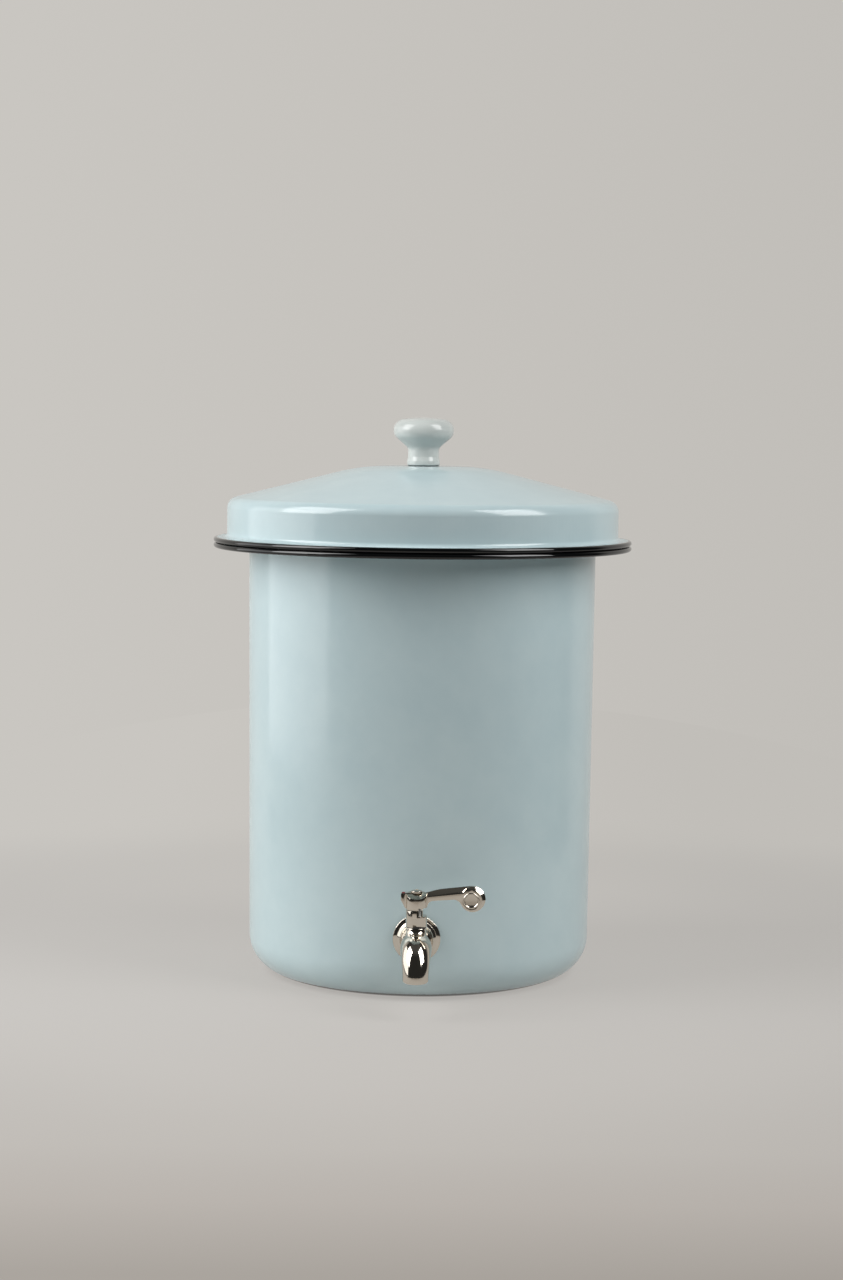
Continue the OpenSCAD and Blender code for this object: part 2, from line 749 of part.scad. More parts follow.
// Side outline of the arm, from inside the hub to the centre of the round end
module arm_side() {
    top_r = 129;
    root_r = 5;
    bend_x = lever_reach - 15.5;
    bend_z = lever_end_z - 0.3;
    under_z = 7.4;
    polygon(concat(
        [[0, under_z - root_r]],
        arc([hub_r + root_r, under_z - root_r], root_r, 180, 96),
        arc([bend_x, bend_z - 6.5], 6.5, 97, 42),
        [
            [lever_reach - 7.6, lever_end_z - 6.6],
            [lever_reach, lever_end_z - 6.6],
            [lever_reach, lever_end_z + lever_end_r]
        ],
        [for (i = [1:arc_steps]) let (x = lever_reach * (1 - i / arc_steps))
            [x, lever_end_z + lever_end_r - top_r + sqrt(pow(top_r, 2) - pow(lever_reach - x, 2))]]
    ));
}

// Side outline of the tail
module tail_side() {
    polygon([
        [0, 0.8],
        [-hub_r - 0.4, 0.8],
        [-tail_reach + 1.6, 4.6],
        [-tail_reach, 7.6],
        [-tail_reach, tail_top - 0.8],
        [-tail_reach + 0.8, tail_top],
        [0, tail_top + 0.6]
    ]);
}

// A side outline as a bar of the arm's thickness, standing upright along X
module upright(t) {
    translate([0, t / 2, 0]) rotate([90, 0, 0]) linear_extrude(t) children();
}

// The arm, with a bevel along its front and back
module arm() {
    edge_z = lever_end_z + lever_end_r - arm_rise - arm_t / 2 * tan(arm_slope);
    difference() {
        upright(arm_t) arm_side();
        for (side = [0, 1]) {
            mirror([0, side, 0]) translate([0, -arm_t / 2, edge_z]) rotate([arm_slope, -6.3, 0])
                translate([-10, -20, 0]) cube([lever_reach + 20, 50, 20]);
        }
    }
}

// The hub: a cylinder with a domed top and a bevel on its front and back
module hub() {
    dome_r = (pow(hub_r, 2) + pow(hub_dome, 2)) / (2 * hub_dome);
    difference() {
        intersection() {
            cylinder(r = hub_r, h = hub_h + hub_dome + 1);
            translate([0, 0, hub_h + hub_dome - dome_r]) sphere(dome_r);
        }
        for (turn = [0, 180]) {
            rotate([0, 0, turn]) translate([0, -hub_r, hub_h - hub_bevel]) rotate([bevel_slope, 0, 0])
                translate([-hub_r - 1, -10, 0]) cube([2 * hub_r + 2, 30, 10]);
        }
    }
}

// The lever's round end, bevelled towards its top on both faces
module lever_end() {
    spread = 1 / tan(90 - arm_slope);
    intersection() {
        translate([lever_reach, arm_t / 2, lever_end_z]) rotate([90, 0, 0]) cylinder(r = lever_end_r, h = arm_t);
        translate([end_face_x, -arm_t / 2, lever_end_z - end_face_drop]) rotate([-90, 0, 0])
            cylinder(r1 = end_face_r, r2 = end_face_r + arm_t * spread, h = arm_t);
        translate([end_face_x, arm_t / 2, lever_end_z - end_face_drop]) rotate([90, 0, 0])
            cylinder(r1 = end_face_r, r2 = end_face_r + arm_t * spread, h = arm_t);
    }
}

module lever() {
    square_hole = stem_square + 2 * run_fit;
    groove_turn = pin_turn - groove_margin;
    groove_span = lever_travel + 2 * groove_margin;
    color("#c9c7c2") on_stem() translate([0, 0, hub_z]) difference() {
        union() {
            hub();
            arm();
            upright(arm_t - 2) tail_side();
            lever_end();
        }
        translate([-square_hole / 2, -square_hole / 2, -1])
            cube([square_hole, square_hole, stem_top_z - hub_z + 1 + rest_gap]);
        cylinder(r = cap_thread_r + hole_fit, h = hub_h + hub_dome);
        translate([0, 0, cap_seat_z - hub_z]) cylinder(r = cap_r + run_fit, h = 10);
        translate([end_face_x, disc_depth - arm_t / 2, lever_end_z - end_face_drop]) rotate([90, 0, 0])
            cylinder(r = disc_r + seat_fit, h = 10);
        translate([dot_x, 0, tail_top - dot_depth]) cylinder(r = dot_r + seat_fit, h = 10);
        rotate([0, 0, groove_turn]) translate([0, 0, -1]) rotate_extrude(angle = groove_span)
            translate([groove_r, 0]) square([hub_r, groove_depth + 1]);
    }
}

module lever_medallion() {
    rim_w = 1.1;
    sunk = 0.5;
    proud = 0.35;
    color("#d4d1cb") on_stem()
        translate([end_face_x, disc_depth - arm_t / 2, hub_z + lever_end_z - end_face_drop])
        rotate([90, 0, 0]) rotate_extrude() polygon([
            [0, 0],
            [disc_r, 0],
            [disc_r, disc_depth + proud - 0.3],
            [disc_r - 0.3, disc_depth + proud],
            [disc_r - rim_w, disc_depth + proud],
            [disc_r - rim_w - 0.4, disc_depth + proud - sunk],
            [0, disc_depth + proud - sunk]
        ]);
}

module lever_cap_screw() {
    crown = 1;
    crown_top = cap_seat_z + cap_h;
    dome_r = (pow(cap_r, 2) + pow(crown, 2)) / (2 * crown);
    color("#d4d1cb") on_stem() difference() {
        union() {
            intersection() {
                translate([0, 0, cap_seat_z]) cylinder(r = cap_r, h = cap_h);
                translate([0, 0, crown_top - dome_r]) sphere(dome_r);
            }
            translate([0, 0, stem_top_z - cap_thread_l])
                cylinder(r = cap_thread_r, h = cap_seat_z - stem_top_z + cap_thread_l + 1);
        }
        translate([0, 0, crown_top - 1.8]) cylinder(r = cap_socket_af / 2 / cos(30), h = 3, $fn = 6);
    }
}

module tail_dot() {
    proud = 0.5;
    color("#7a1f22") on_stem() translate([dot_x, 0, hub_z + tail_top - dot_depth])
        cylinder(r = dot_r, h = dot_depth + proud);
}

bucket_base();
bucket_wall();
bucket_rim();
filter_pot();
filter_collar();
lid();
lid_rim();
lid_knob();
knob_insert();
knob_washer();
knob_inner_seal();
knob_inner_washer();
knob_screw();
tap_body();
tap_outer_seal();
tap_inner_seal();
tap_washer();
tap_nut();
plug_sleeve();
valve_plug();
bonnet_gasket();
bonnet();
stem_o_rings();
stop_pin();
thrust_washer();
lever();
lever_medallion();
lever_cap_screw();
tail_dot();
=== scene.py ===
import json
import math

import bpy
from mathutils import Matrix, Vector


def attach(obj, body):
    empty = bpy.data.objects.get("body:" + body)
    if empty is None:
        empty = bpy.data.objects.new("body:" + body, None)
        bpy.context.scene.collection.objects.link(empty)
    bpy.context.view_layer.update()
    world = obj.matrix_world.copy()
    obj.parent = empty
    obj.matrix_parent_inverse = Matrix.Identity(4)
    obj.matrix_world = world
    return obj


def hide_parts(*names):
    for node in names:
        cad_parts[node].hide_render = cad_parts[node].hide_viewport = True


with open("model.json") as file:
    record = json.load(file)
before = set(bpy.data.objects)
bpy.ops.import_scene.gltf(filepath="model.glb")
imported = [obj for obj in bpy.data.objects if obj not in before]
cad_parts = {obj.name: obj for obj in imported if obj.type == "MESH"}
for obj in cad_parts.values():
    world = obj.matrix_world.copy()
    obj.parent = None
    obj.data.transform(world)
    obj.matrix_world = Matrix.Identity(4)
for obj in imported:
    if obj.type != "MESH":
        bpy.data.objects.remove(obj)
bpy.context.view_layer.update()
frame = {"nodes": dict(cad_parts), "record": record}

MM = 0.001

# Sizes in millimetres, the same as the solids'
BUCKET_TOP_R = 150
BUCKET_BOTTOM_R = 148
BUCKET_H = 372.5
CORNER_R = 32
SHEET = 1.6
NECK_R = 3
FOOT_INNER_R = 102
BOTTOM_RISE = 3
BOTTOM_SLOPE_W = 6
LID_R = 169.2
RIM_R = 180.8
CURL_R = 2.2
CURL_HOLE_R = 0.9
CURL_SEAM = 0.6
LID_TOP_Z = 439.3
LID_SLOPE = 14.3
SHOULDER_R = 10
LID_FLAT_R = 32
CROWN_R = 162
LID_FILLET_R = 3.5
LID_HOLE_R = 3.4
CURL_CENTRE_R = RIM_R - CURL_R
BUCKET_CURL_Z = BUCKET_H - CURL_R
LID_CURL_Z = BUCKET_H + 0.3 + CURL_R
LID_FLANGE_Z = LID_CURL_Z + CURL_R
KNOB_Z = LID_TOP_Z + 0.8
TAP_Z = 55
STEM_Y = -184.935
BEND_Y = -186.435
BEND_R = 22.3
SPOUT_Y = BEND_Y - BEND_R
FLANGE_BACK_Y = -149.335
ELBOW_R = 12.7
NOSE_R = 10.5
BOSS_H = 16.5
CHAMBER_R = 7
CHAMBER_DEPTH = 8
SHANK_R = 7.95
SHANK_L = 20.8
SHANK_HOLE_R = 8.35
SHANK_HOLE_Y = -147.5
FLANGE_R = 19.65
OUTLET_R = 7.2
OUTLET_TOP = 8
PASSAGE_R = 4.2
PASSAGE_TOP = 11


# ---------------------------------------------------------------- modelling

def arc(centre, radius, start, end, steps=16):
    """Points of an arc in the section plane, angles in degrees."""
    turns = [math.radians(start + (end - start) * i / steps) for i in range(steps + 1)]
    return [(centre[0] + radius * math.cos(t), centre[1] + radius * math.sin(t)) for t in turns]


def deselect():
    bpy.ops.object.select_all(action="DESELECT")


def pick(piece):
    """Makes the piece the active one, and the only one selected."""
    deselect()
    piece.select_set(True)
    bpy.context.view_layer.objects.active = piece


def start_vertex(name, place):
    """A new mesh in edit mode that is a single vertex at place."""
    deselect()
    bpy.ops.mesh.primitive_plane_add(size=MM, location=(0, 0, 0))
    piece = bpy.context.object
    piece.name = piece.data.name = name
    bpy.ops.object.mode_set(mode="EDIT")
    bpy.ops.mesh.merge(type="CENTER")
    bpy.ops.transform.translate(value=place)
    return piece


def turned(name, section, steps=192, closed=True, centre=(0, 0)):
    """A turned piece: the half section is drawn point by point and spun round the upright axis."""
    points = [Vector((centre[0] + r, centre[1], z)) * MM for r, z in section]
    piece = start_vertex(name, points[0])
    for before, after in zip(points, points[1:]):
        bpy.ops.mesh.extrude_region_move(TRANSFORM_OT_translate={"value": after - before})
    bpy.ops.mesh.select_all(action="SELECT")
    if closed:
        bpy.ops.object.mode_set(mode="OBJECT")
        for vertex in piece.data.vertices:
            vertex.select = vertex.index in (0, len(points) - 1)
        bpy.ops.object.mode_set(mode="EDIT")
        bpy.ops.mesh.edge_face_add()
        bpy.ops.mesh.select_all(action="SELECT")
    axis_point = (centre[0] * MM, centre[1] * MM, 0)
    bpy.ops.mesh.spin(steps=steps, angle=2 * math.pi, center=axis_point, axis=(0, 0, 1))
    bpy.ops.mesh.select_all(action="SELECT")
    bpy.ops.mesh.remove_doubles(threshold=0.005 * MM)
    bpy.ops.mesh.dissolve_degenerate(threshold=0.001 * MM)
    bpy.ops.mesh.normals_make_consistent(inside=False)
    bpy.ops.object.mode_set(mode="OBJECT")
    return piece


def smooth(piece, angle=30):
    """Shades the piece smooth, but for edges sharper than the angle."""
    pick(piece)
    bpy.ops.object.shade_smooth_by_angle(angle=math.radians(angle))


def apply_modifier(piece, kind, **settings):
    """Adds a modifier with its settings and applies it."""
    pick(piece)
    modifier = piece.modifiers.new(kind.title(), kind)
    for key, value in settings.items():
        setattr(modifier, key, value)
    bpy.ops.object.modifier_apply(modifier=modifier.name)


def softened(node, edge, angle=35):
    """A merged copy of a solid with its sharp edges broken, as tumbling or polishing leaves them."""
    piece = bpy.data.objects.new(node + "_finished", frame["nodes"][node].data.copy())
    bpy.context.scene.collection.objects.link(piece)
    pick(piece)
    piece.data.materials.clear()
    bpy.ops.object.mode_set(mode="EDIT")
    bpy.ops.mesh.select_all(action="SELECT")
    bpy.ops.mesh.remove_doubles(threshold=0.004 * MM)
    bpy.ops.mesh.dissolve_limited(angle_limit=math.radians(0.4))
    bpy.ops.object.mode_set(mode="OBJECT")
    apply_modifier(
        piece, "BEVEL", width=edge * MM, segments=3, limit_method="ANGLE",
        angle_limit=math.radians(angle), use_clamp_overlap=True, miter_outer="MITER_ARC",
    )
    smooth(piece, angle)
    return piece


# ---------------------------------------------------------------- shells

def curl(z):
    """A rolled rim from the flange's underside to its top, left open at its seam."""
    seam_out = math.degrees(math.asin(CURL_SEAM / CURL_R))
    seam_in = math.degrees(math.asin(CURL_SEAM / CURL_HOLE_R))
    centre = (CURL_CENTRE_R, z)
    return (
        arc(centre, CURL_R, 180 - seam_out, 180, 2)
        + arc(centre, CURL_HOLE_R, 180, -180 + seam_in, 16)
        + arc(centre, CURL_R, 180 + seam_out, 450, 32)
    )


# Heights of the wall's rings, close together beside the shank's hole
WALL_RINGS = (38, 46.5, 55, 63.5, 72, 120, 170, 220, 270, 320, 355)
# Radius of the two soft folds of the pressed bottom
FOLD_R = 4


def wall_r(z):
    """The wall's outer radius at a height: it widens evenly from the bottom corner to the flange."""
    return BUCKET_BOTTOM_R + (BUCKET_TOP_R - BUCKET_BOTTOM_R) * (z - CORNER_R) / (BUCKET_H - CORNER_R)


def bucket_side(inset):
    """The bucket's wall from the axis to the flange, outside for 0 and inside for the sheet's thickness."""
    return (
        [(0, BOTTOM_RISE + inset)]
        + arc((FOOT_INNER_R - BOTTOM_SLOPE_W, BOTTOM_RISE - FOLD_R), FOLD_R + inset, 90, 64, 4)
        + arc((FOOT_INNER_R + 0.5, FOLD_R), FOLD_R - inset, 244, 270, 4)
        + arc((BUCKET_BOTTOM_R - CORNER_R, CORNER_R), CORNER_R - inset, -90, 0, 28)
        + [(wall_r(z) - inset, z) for z in WALL_RINGS]
        + arc((BUCKET_TOP_R + NECK_R, BUCKET_H - SHEET - NECK_R), NECK_R + inset, 180, 90, 10)
    )


def lid_side(inset):
    """The lid from the knob's hole to the flange, outside for 0 and inside for the sheet's thickness."""
    slope = math.radians(LID_SLOPE)
    shoulder_z = LID_TOP_Z - CROWN_R + (
        CROWN_R - SHOULDER_R - (LID_R - SHOULDER_R - LID_FLAT_R) * math.sin(slope)
    ) / math.cos(slope)
    return (
        [(LID_HOLE_R, LID_TOP_Z - inset), (16, LID_TOP_Z - inset)]
        + arc((LID_FLAT_R, LID_TOP_Z - CROWN_R), CROWN_R - inset, 90, 90 - LID_SLOPE, 14)
        + arc((LID_R - SHOULDER_R, shoulder_z), SHOULDER_R - inset, 90 - LID_SLOPE, 0, 24)
        + arc((LID_R + LID_FILLET_R, LID_FLANGE_Z + LID_FILLET_R), LID_FILLET_R + inset, 180, 270, 12)
    )


def make_bucket():
    """The bucket's shell, spun from one sheet, with the hole for the tap's shank."""
    shell = turned(
        "bucket_shell",
        bucket_side(0) + curl(BUCKET_CURL_Z) + bucket_side(SHEET)[::-1],
        steps=256, closed=False,
    )
    drill_l = 24
    deselect()
    bpy.ops.mesh.primitive_cylinder_add(
        vertices=64, radius=SHANK_HOLE_R * MM, depth=drill_l * MM,
        location=(0, SHANK_HOLE_Y * MM, TAP_Z * MM), rotation=(math.pi / 2, 0, 0),
    )
    drill = bpy.context.object
    apply_modifier(shell, "BOOLEAN", object=drill, operation="DIFFERENCE", solver="EXACT")
    bpy.data.objects.remove(drill)
    smooth(shell, 40)
    return shell


def make_lid():
    """The lid's shell, spun from one sheet, with the hole for the knob's screw."""
    shell = turned("lid_shell", lid_side(SHEET) + curl(LID_CURL_Z) + lid_side(0)[::-1], steps=256)
    smooth(shell, 40)
    return shell


def make_knob():
    """The knob: a band at its foot, a hollow neck, a flared head with a rounded edge and a flat dome."""
    knob_r, neck_r, foot_r = 26.1, 13.4, 14.2
    foot_h, neck_h, fillet_r, flare, edge_r, dome_r = 5, 12.1, 6, 40.3, 9.7, 110
    hole_r, hole_depth, chamfer, foot_round, band_round = 4.65, 15, 0.4, 1.2, 3
    head_x = knob_r - edge_r
    tilt = math.radians(flare)
    head_z = neck_h + ((head_x - neck_r - fillet_r) * math.sin(tilt) + edge_r + fillet_r) / math.cos(tilt)
    dome_z = head_z - math.sqrt((dome_r - edge_r) ** 2 - head_x ** 2)
    dome_turn = 90 - math.degrees(math.asin(head_x / (dome_r - edge_r)))
    section = (
        [(hole_r, hole_depth), (hole_r, chamfer), (hole_r + chamfer, 0)]
        + arc((foot_r - foot_round, foot_round), foot_round, -90, 0, 8)
        + arc((foot_r - band_round, foot_h - 1.5), band_round, 0, 16, 4)
        + arc((neck_r + band_round, foot_h + 2.6), band_round, 196, 180, 4)
        + arc((neck_r + fillet_r, neck_h), fillet_r, 180, 90 + flare, 12)
        + arc((head_x, head_z), edge_r, flare - 90, dome_turn, 32)
        + arc((0, dome_z), dome_r, dome_turn, 90, 10)
    )
    section.append((0, hole_depth))
    knob = turned("knob_turned", [(r, z + KNOB_Z) for r, z in section], steps=128, closed=False)
    smooth(knob, 40)
    return knob


# ---------------------------------------------------------------- tap

# The barrel from behind the flange to the elbow: place along the shank and radius
BARREL_FOOT = (-152, 14.6)
BARREL = (
    (-154, 14.45), (-155.2, 14.1), (-156.4, 13.45), (-157.6, 13.08), (-159.2, 12.88), (-162, 12.76),
    (-170, ELBOW_R), (BEND_Y, ELBOW_R),
)
# The rounded mouth and the outlet's bore: height over the bend's end and radius
MOUTH = (
    (-0.25, 10.4), (-0.7, 10.15), (-1.15, 9.75), (-1.55, 9.2), (-1.85, 8.55), (-2.0, 7.9), (-1.85, 7.4),
    (-1.4, OUTLET_R), (OUTLET_TOP, OUTLET_R), (OUTLET_TOP, PASSAGE_R), (PASSAGE_TOP, PASSAGE_R),
)
# The boss's skin, 0.1 inside the solid's
BOSS_R = 8.2
# Rings of the hollow between barrel and boss, by their height over the shank's axis
NECK_RINGS = (8.6, 9, 9.5, 10, 10.5, 11, 11.35, 11.5, 11.8, 12.1, 12.5, 13, 13.5, 14, 14.5, 15, 15.5)
# The hollow starts higher and is wider along the barrel than across it, and stops short of the elbow's front
HOLLOW_ALONG_TOP, HOLLOW_ALONG_R, HOLLOW_ALONG_REACH = 16, 4.77, 11.8
HOLLOW_ACROSS_TOP, HOLLOW_ACROSS_R = 11.5, 4.31


def extrude_ring(here, radius, there, new_radius):
    """Extrudes the selected ring to another place and radius, and gives these back."""
    bpy.ops.mesh.extrude_region_move(TRANSFORM_OT_translate={"value": there - here})
    bpy.ops.transform.resize(value=(new_radius / radius,) * 3, center_override=there)
    return there, new_radius


def make_tube():
    """The water's way in one tube: barrel, elbow that narrows as it turns down, mouth and bore."""
    deselect()
    foot_y, radius = BARREL_FOOT
    here = Vector((0, foot_y, TAP_Z)) * MM
    bpy.ops.mesh.primitive_circle_add(
        vertices=72, radius=radius * MM, fill_type="NGON", location=here, rotation=(math.pi / 2, 0, 0)
    )
    tube = bpy.context.object
    tube.name = tube.data.name = "tap_casting"
    bpy.ops.object.transform_apply(location=True, rotation=True, scale=True)
    bpy.ops.object.mode_set(mode="EDIT")
    bpy.ops.mesh.select_all(action="SELECT")
    for y, ring_r in BARREL:
        here, radius = extrude_ring(here, radius, Vector((0, y, TAP_Z)) * MM, ring_r)
    bend_centre = Vector((0, BEND_Y, TAP_Z - BEND_R)) * MM
    steps = 24
    for i in range(steps):
        bpy.ops.mesh.spin(steps=1, angle=math.radians(90 / steps), center=bend_centre, axis=(-1, 0, 0))
        share = (i + 1) / steps
        turn = math.radians(90 * share)
        here = bend_centre + Vector((0, -math.sin(turn), math.cos(turn))) * BEND_R * MM
        ring_r = ELBOW_R - (ELBOW_R - NOSE_R) * (share * share * (3 - 2 * share)) ** 1.2
        bpy.ops.transform.resize(value=(ring_r / radius,) * 3, center_override=here)
        radius = ring_r
    for rise, ring_r in MOUTH:
        here, radius = extrude_ring(here, radius, Vector((0, SPOUT_Y, TAP_Z - BEND_R + rise)) * MM, ring_r)
    bpy.ops.mesh.select_all(action="SELECT")
    bpy.ops.mesh.normals_make_consistent(inside=False)
    bpy.ops.object.mode_set(mode="OBJECT")
    return tube


def hollow(height, top, radius):
    """How far a hollow stands out at a height: an arc that leaves the boss at its top."""
    drop = min(max(top - height, 0), radius)
    return radius - math.sqrt(radius ** 2 - drop ** 2)


def make_boss():
    """The boss that takes the bonnet. The hollow at its foot spreads along the barrel more than across it."""
    neck = [
        (
            height,
            min(BOSS_R + hollow(height, HOLLOW_ALONG_TOP, HOLLOW_ALONG_R), HOLLOW_ALONG_REACH),
            BOSS_R + hollow(height, HOLLOW_ACROSS_TOP, HOLLOW_ACROSS_R),
        )
        for height in NECK_RINGS
    ]
    boss = turned(
        "boss",
        [(0, TAP_Z - 4), (11.6, TAP_Z - 4), (12.6, TAP_Z + 2.5)]
        + [(along, TAP_Z + height) for height, along, across in neck]
        + [(BOSS_R, TAP_Z + BOSS_H), (0, TAP_Z + BOSS_H)],
        steps=72, closed=False, centre=(0, STEM_Y),
    )
    for height, along, across in neck:
        pick(boss)
        bpy.ops.object.mode_set(mode="EDIT")
        bpy.ops.mesh.select_mode(type="VERT")
        bpy.ops.mesh.select_all(action="DESELECT")
        bpy.ops.object.mode_set(mode="OBJECT")
        for point in boss.data.vertices:
            point.select = abs(point.co.z / MM - TAP_Z - height) < 0.01
        bpy.ops.object.mode_set(mode="EDIT")
        bpy.ops.transform.resize(value=(across / along, 1, 1), center_override=(0, STEM_Y * MM, 0))
        bpy.ops.object.mode_set(mode="OBJECT")
    return boss


def make_shank_and_flange():
    """The shank with its chamfered end, and the round flange with a steep bevel that runs into the barrel."""
    shank = turned(
        "shank",
        [(0, -SHANK_L), (7.4, -SHANK_L), (SHANK_R, 0.6 - SHANK_L), (SHANK_R, 5), (0, 5)],
        steps=72, closed=False,
    )
    # rounded edges: the rim's, the bevel's inner one, and the hollow where the flare to the barrel starts
    rim_round, bevel_round, flare_round = 0.7, 0.5, 0.4
    flare_top = (14.0, 6.2)
    flange = turned(
        "flange",
        [(0, 0), (FLANGE_R - 0.55, 0), (FLANGE_R - 0.2, 0.25), (FLANGE_R, 0.9)]
        + arc((FLANGE_R - rim_round, 1.75), rim_round, 0, 58, 6)
        + arc((16.35, 3.0), bevel_round, 62, 90, 3)
        + arc((16.3, 3.9), flare_round, 270, 218, 5)
        + [flare_top, (0, flare_top[1])],
        steps=128, closed=False,
    )
    for piece in (flange, shank):
        pick(piece)
        piece.rotation_euler = (math.pi / 2, 0, 0)
        piece.location = Vector((0, FLANGE_BACK_Y, TAP_Z)) * MM
        bpy.ops.object.transform_apply(location=True, rotation=True, scale=True)
    return shank, flange


def make_tap_casting():
    """The tap's casting: flange, barrel, valve chamber, boss, elbow and nose run into one another."""
    casting = make_tube()
    boss = make_boss()
    shank, flange = make_shank_and_flange()
    apply_modifier(casting, "BOOLEAN", object=boss, operation="UNION", solver="EXACT")
    apply_modifier(casting, "REMESH", mode="VOXEL", voxel_size=0.4 * MM, use_smooth_shade=True)
    apply_modifier(casting, "SMOOTH", factor=0.5, iterations=10)
    for part in (shank, flange):
        apply_modifier(casting, "BOOLEAN", object=part, operation="UNION", solver="EXACT")
    # the valve chamber's mouth is cut after the blend, so that its edge stays crisp
    cutter_l = 30
    deselect()
    bpy.ops.mesh.primitive_cylinder_add(
        vertices=72, radius=CHAMBER_R * MM, depth=cutter_l * MM,
        location=(0, STEM_Y * MM, (TAP_Z + cutter_l / 2 - CHAMBER_DEPTH) * MM),
    )
    chamber = bpy.context.object
    apply_modifier(casting, "BOOLEAN", object=chamber, operation="DIFFERENCE", solver="EXACT")
    for part in (boss, shank, flange, chamber):
        bpy.data.objects.remove(part)
    smooth(casting, 50)
    return casting


# ---------------------------------------------------------------- materials

def colour(code):
    """An sRGB hex colour as linear RGBA."""
    parts = [int(code[i:i + 2], 16) / 255 for i in (0, 2, 4)]
    linear = [c / 12.92 if c <= 0.04045 else ((c + 0.055) / 1.055) ** 2.4 for c in parts]
    return (*linear, 1)


def add(tree, kind, settings=None, **inputs):
    """Adds a shader node. Settings are its properties; inputs are values, or other nodes' outputs to link."""
    made = tree.nodes.new(kind)
    for key, value in (settings or {}).items():
        setattr(made, key, value)
    for key, value in inputs.items():
        socket = made.inputs[int(key[1:])] if key[1:].isdigit() else made.inputs[key.replace("_", " ")]
        if isinstance(value, bpy.types.NodeSocket):
            tree.links.new(value, socket)
        else:
            socket.default_value = value
    return made


def new_material(name):
    """An empty node material with its Principled shader."""
    material = bpy.data.materials.new(name)
    material.use_nodes = True
    tree = material.node_tree
    tree.nodes.clear()
    shader = add(tree, "ShaderNodeBsdfPrincipled")
    add(tree, "ShaderNodeOutputMaterial", Surface=shader.outputs["BSDF"])
    return material, tree, shader


def vitreous_enamel():
    """Vitreous enamel on steel: glass fused in a kiln, so a deep gloss over a slightly uneven pale
    duck-egg coat, with the rolled rims dipped in black."""
    material, tree, shader = new_material("vitreous_enamel_duck_egg")
    place = add(tree, "ShaderNodeTexCoord").outputs["Object"]
    # distance from the bucket's axis
    flat = add(tree, "ShaderNodeVectorMath", {"operation": "MULTIPLY"}, i0=place, i1=(1, 1, 0))
    radius = add(tree, "ShaderNodeVectorMath", {"operation": "LENGTH"}, i0=flat.outputs[0]).outputs["Value"]
    # the dipped edge runs a fraction of a millimetre in and out every few centimetres
    wander = add(tree, "ShaderNodeTexNoise", Vector=place, Scale=38.0, Detail=2.0)
    wavy = add(tree, "ShaderNodeMath", {"operation": "MULTIPLY_ADD"}, i0=wander.outputs["Fac"], i1=0.0006, i2=radius)
    dipped = add(
        tree, "ShaderNodeMapRange", {"interpolation_type": "SMOOTHSTEP"},
        Value=wavy.outputs[0], From_Min=(CURL_CENTRE_R - 0.7) * MM, From_Max=(CURL_CENTRE_R - 0.1) * MM,
    )
    # the coat is a little thicker and thinner over patches of 20 to 40 mm
    patches = add(tree, "ShaderNodeTexNoise", Vector=place, Scale=30.0, Detail=3.0, Roughness=0.6)
    coat = add(tree, "ShaderNodeValToRGB", Fac=patches.outputs["Fac"])
    coat.color_ramp.elements[0].position = 0.3
    coat.color_ramp.elements[0].color = colour("B3C6CA")
    coat.color_ramp.elements[1].position = 0.7
    coat.color_ramp.elements[1].color = colour("B8CACD")
    # pinholes and specks under a millimetre, few and faint
    specks = add(tree, "ShaderNodeTexVoronoi", {"feature": "F1"}, Vector=place, Scale=160.0)
    speck = add(
        tree, "ShaderNodeMapRange",
        Value=specks.outputs["Distance"], From_Min=0.03, From_Max=0.055, To_Min=0.12, To_Max=0.0,
    )
    speckled = add(
        tree, "ShaderNodeMix", {"data_type": "RGBA"},
        i0=speck.outputs[0], i6=coat.outputs["Color"], i7=colour("8FA3A8"),
    )
    rimmed = add(
        tree, "ShaderNodeMix", {"data_type": "RGBA"},
        i0=dipped.outputs[0], i6=speckled.outputs[2], i7=colour("08090A"),
    )
    # painted shade: the lowest 4.5 mm is painted near-black for the dark contact shadow where the foot meets the
    # floor
    height = add(tree, "ShaderNodeSeparateXYZ", Vector=place).outputs["Z"]
    painted_foot_shade = add(
        tree, "ShaderNodeMapRange",
        Value=height, From_Min=4.3 * MM, From_Max=4.8 * MM, To_Min=1.0, To_Max=0.0,
    )
    with_foot_shade = add(
        tree, "ShaderNodeMix", {"data_type": "RGBA"},
        i0=painted_foot_shade.outputs[0], i6=rimmed.outputs[2], i7=colour("0C0E10"),
    )
    tree.links.new(with_foot_shade.outputs[2], shader.inputs["Base Color"])
    shader.inputs["IOR"].default_value = 1.52
    # fused glass is glossy with faint cloudy patches
    cloudy = add(tree, "ShaderNodeMapRange", Value=patches.outputs["Fac"], To_Min=0.12, To_Max=0.2)
    # the black dip flows out smoother than the sprayed coat
    gloss = add(tree, "ShaderNodeMix", {"data_type": "FLOAT"}, i0=dipped.outputs[0], i2=cloudy.outputs[0], i3=0.05)
    tree.links.new(gloss.outputs[0], shader.inputs["Roughness"])
    # orange peel: waves of 4 to 8 mm, some microns high
    peel = add(tree, "ShaderNodeTexNoise", Vector=place, Scale=170.0, Detail=1.0)
    bump = add(tree, "ShaderNodeBump", Strength=0.35, Distance=0.00004, Height=peel.outputs["Fac"])
    tree.links.new(bump.outputs["Normal"], shader.inputs["Normal"])
    return material


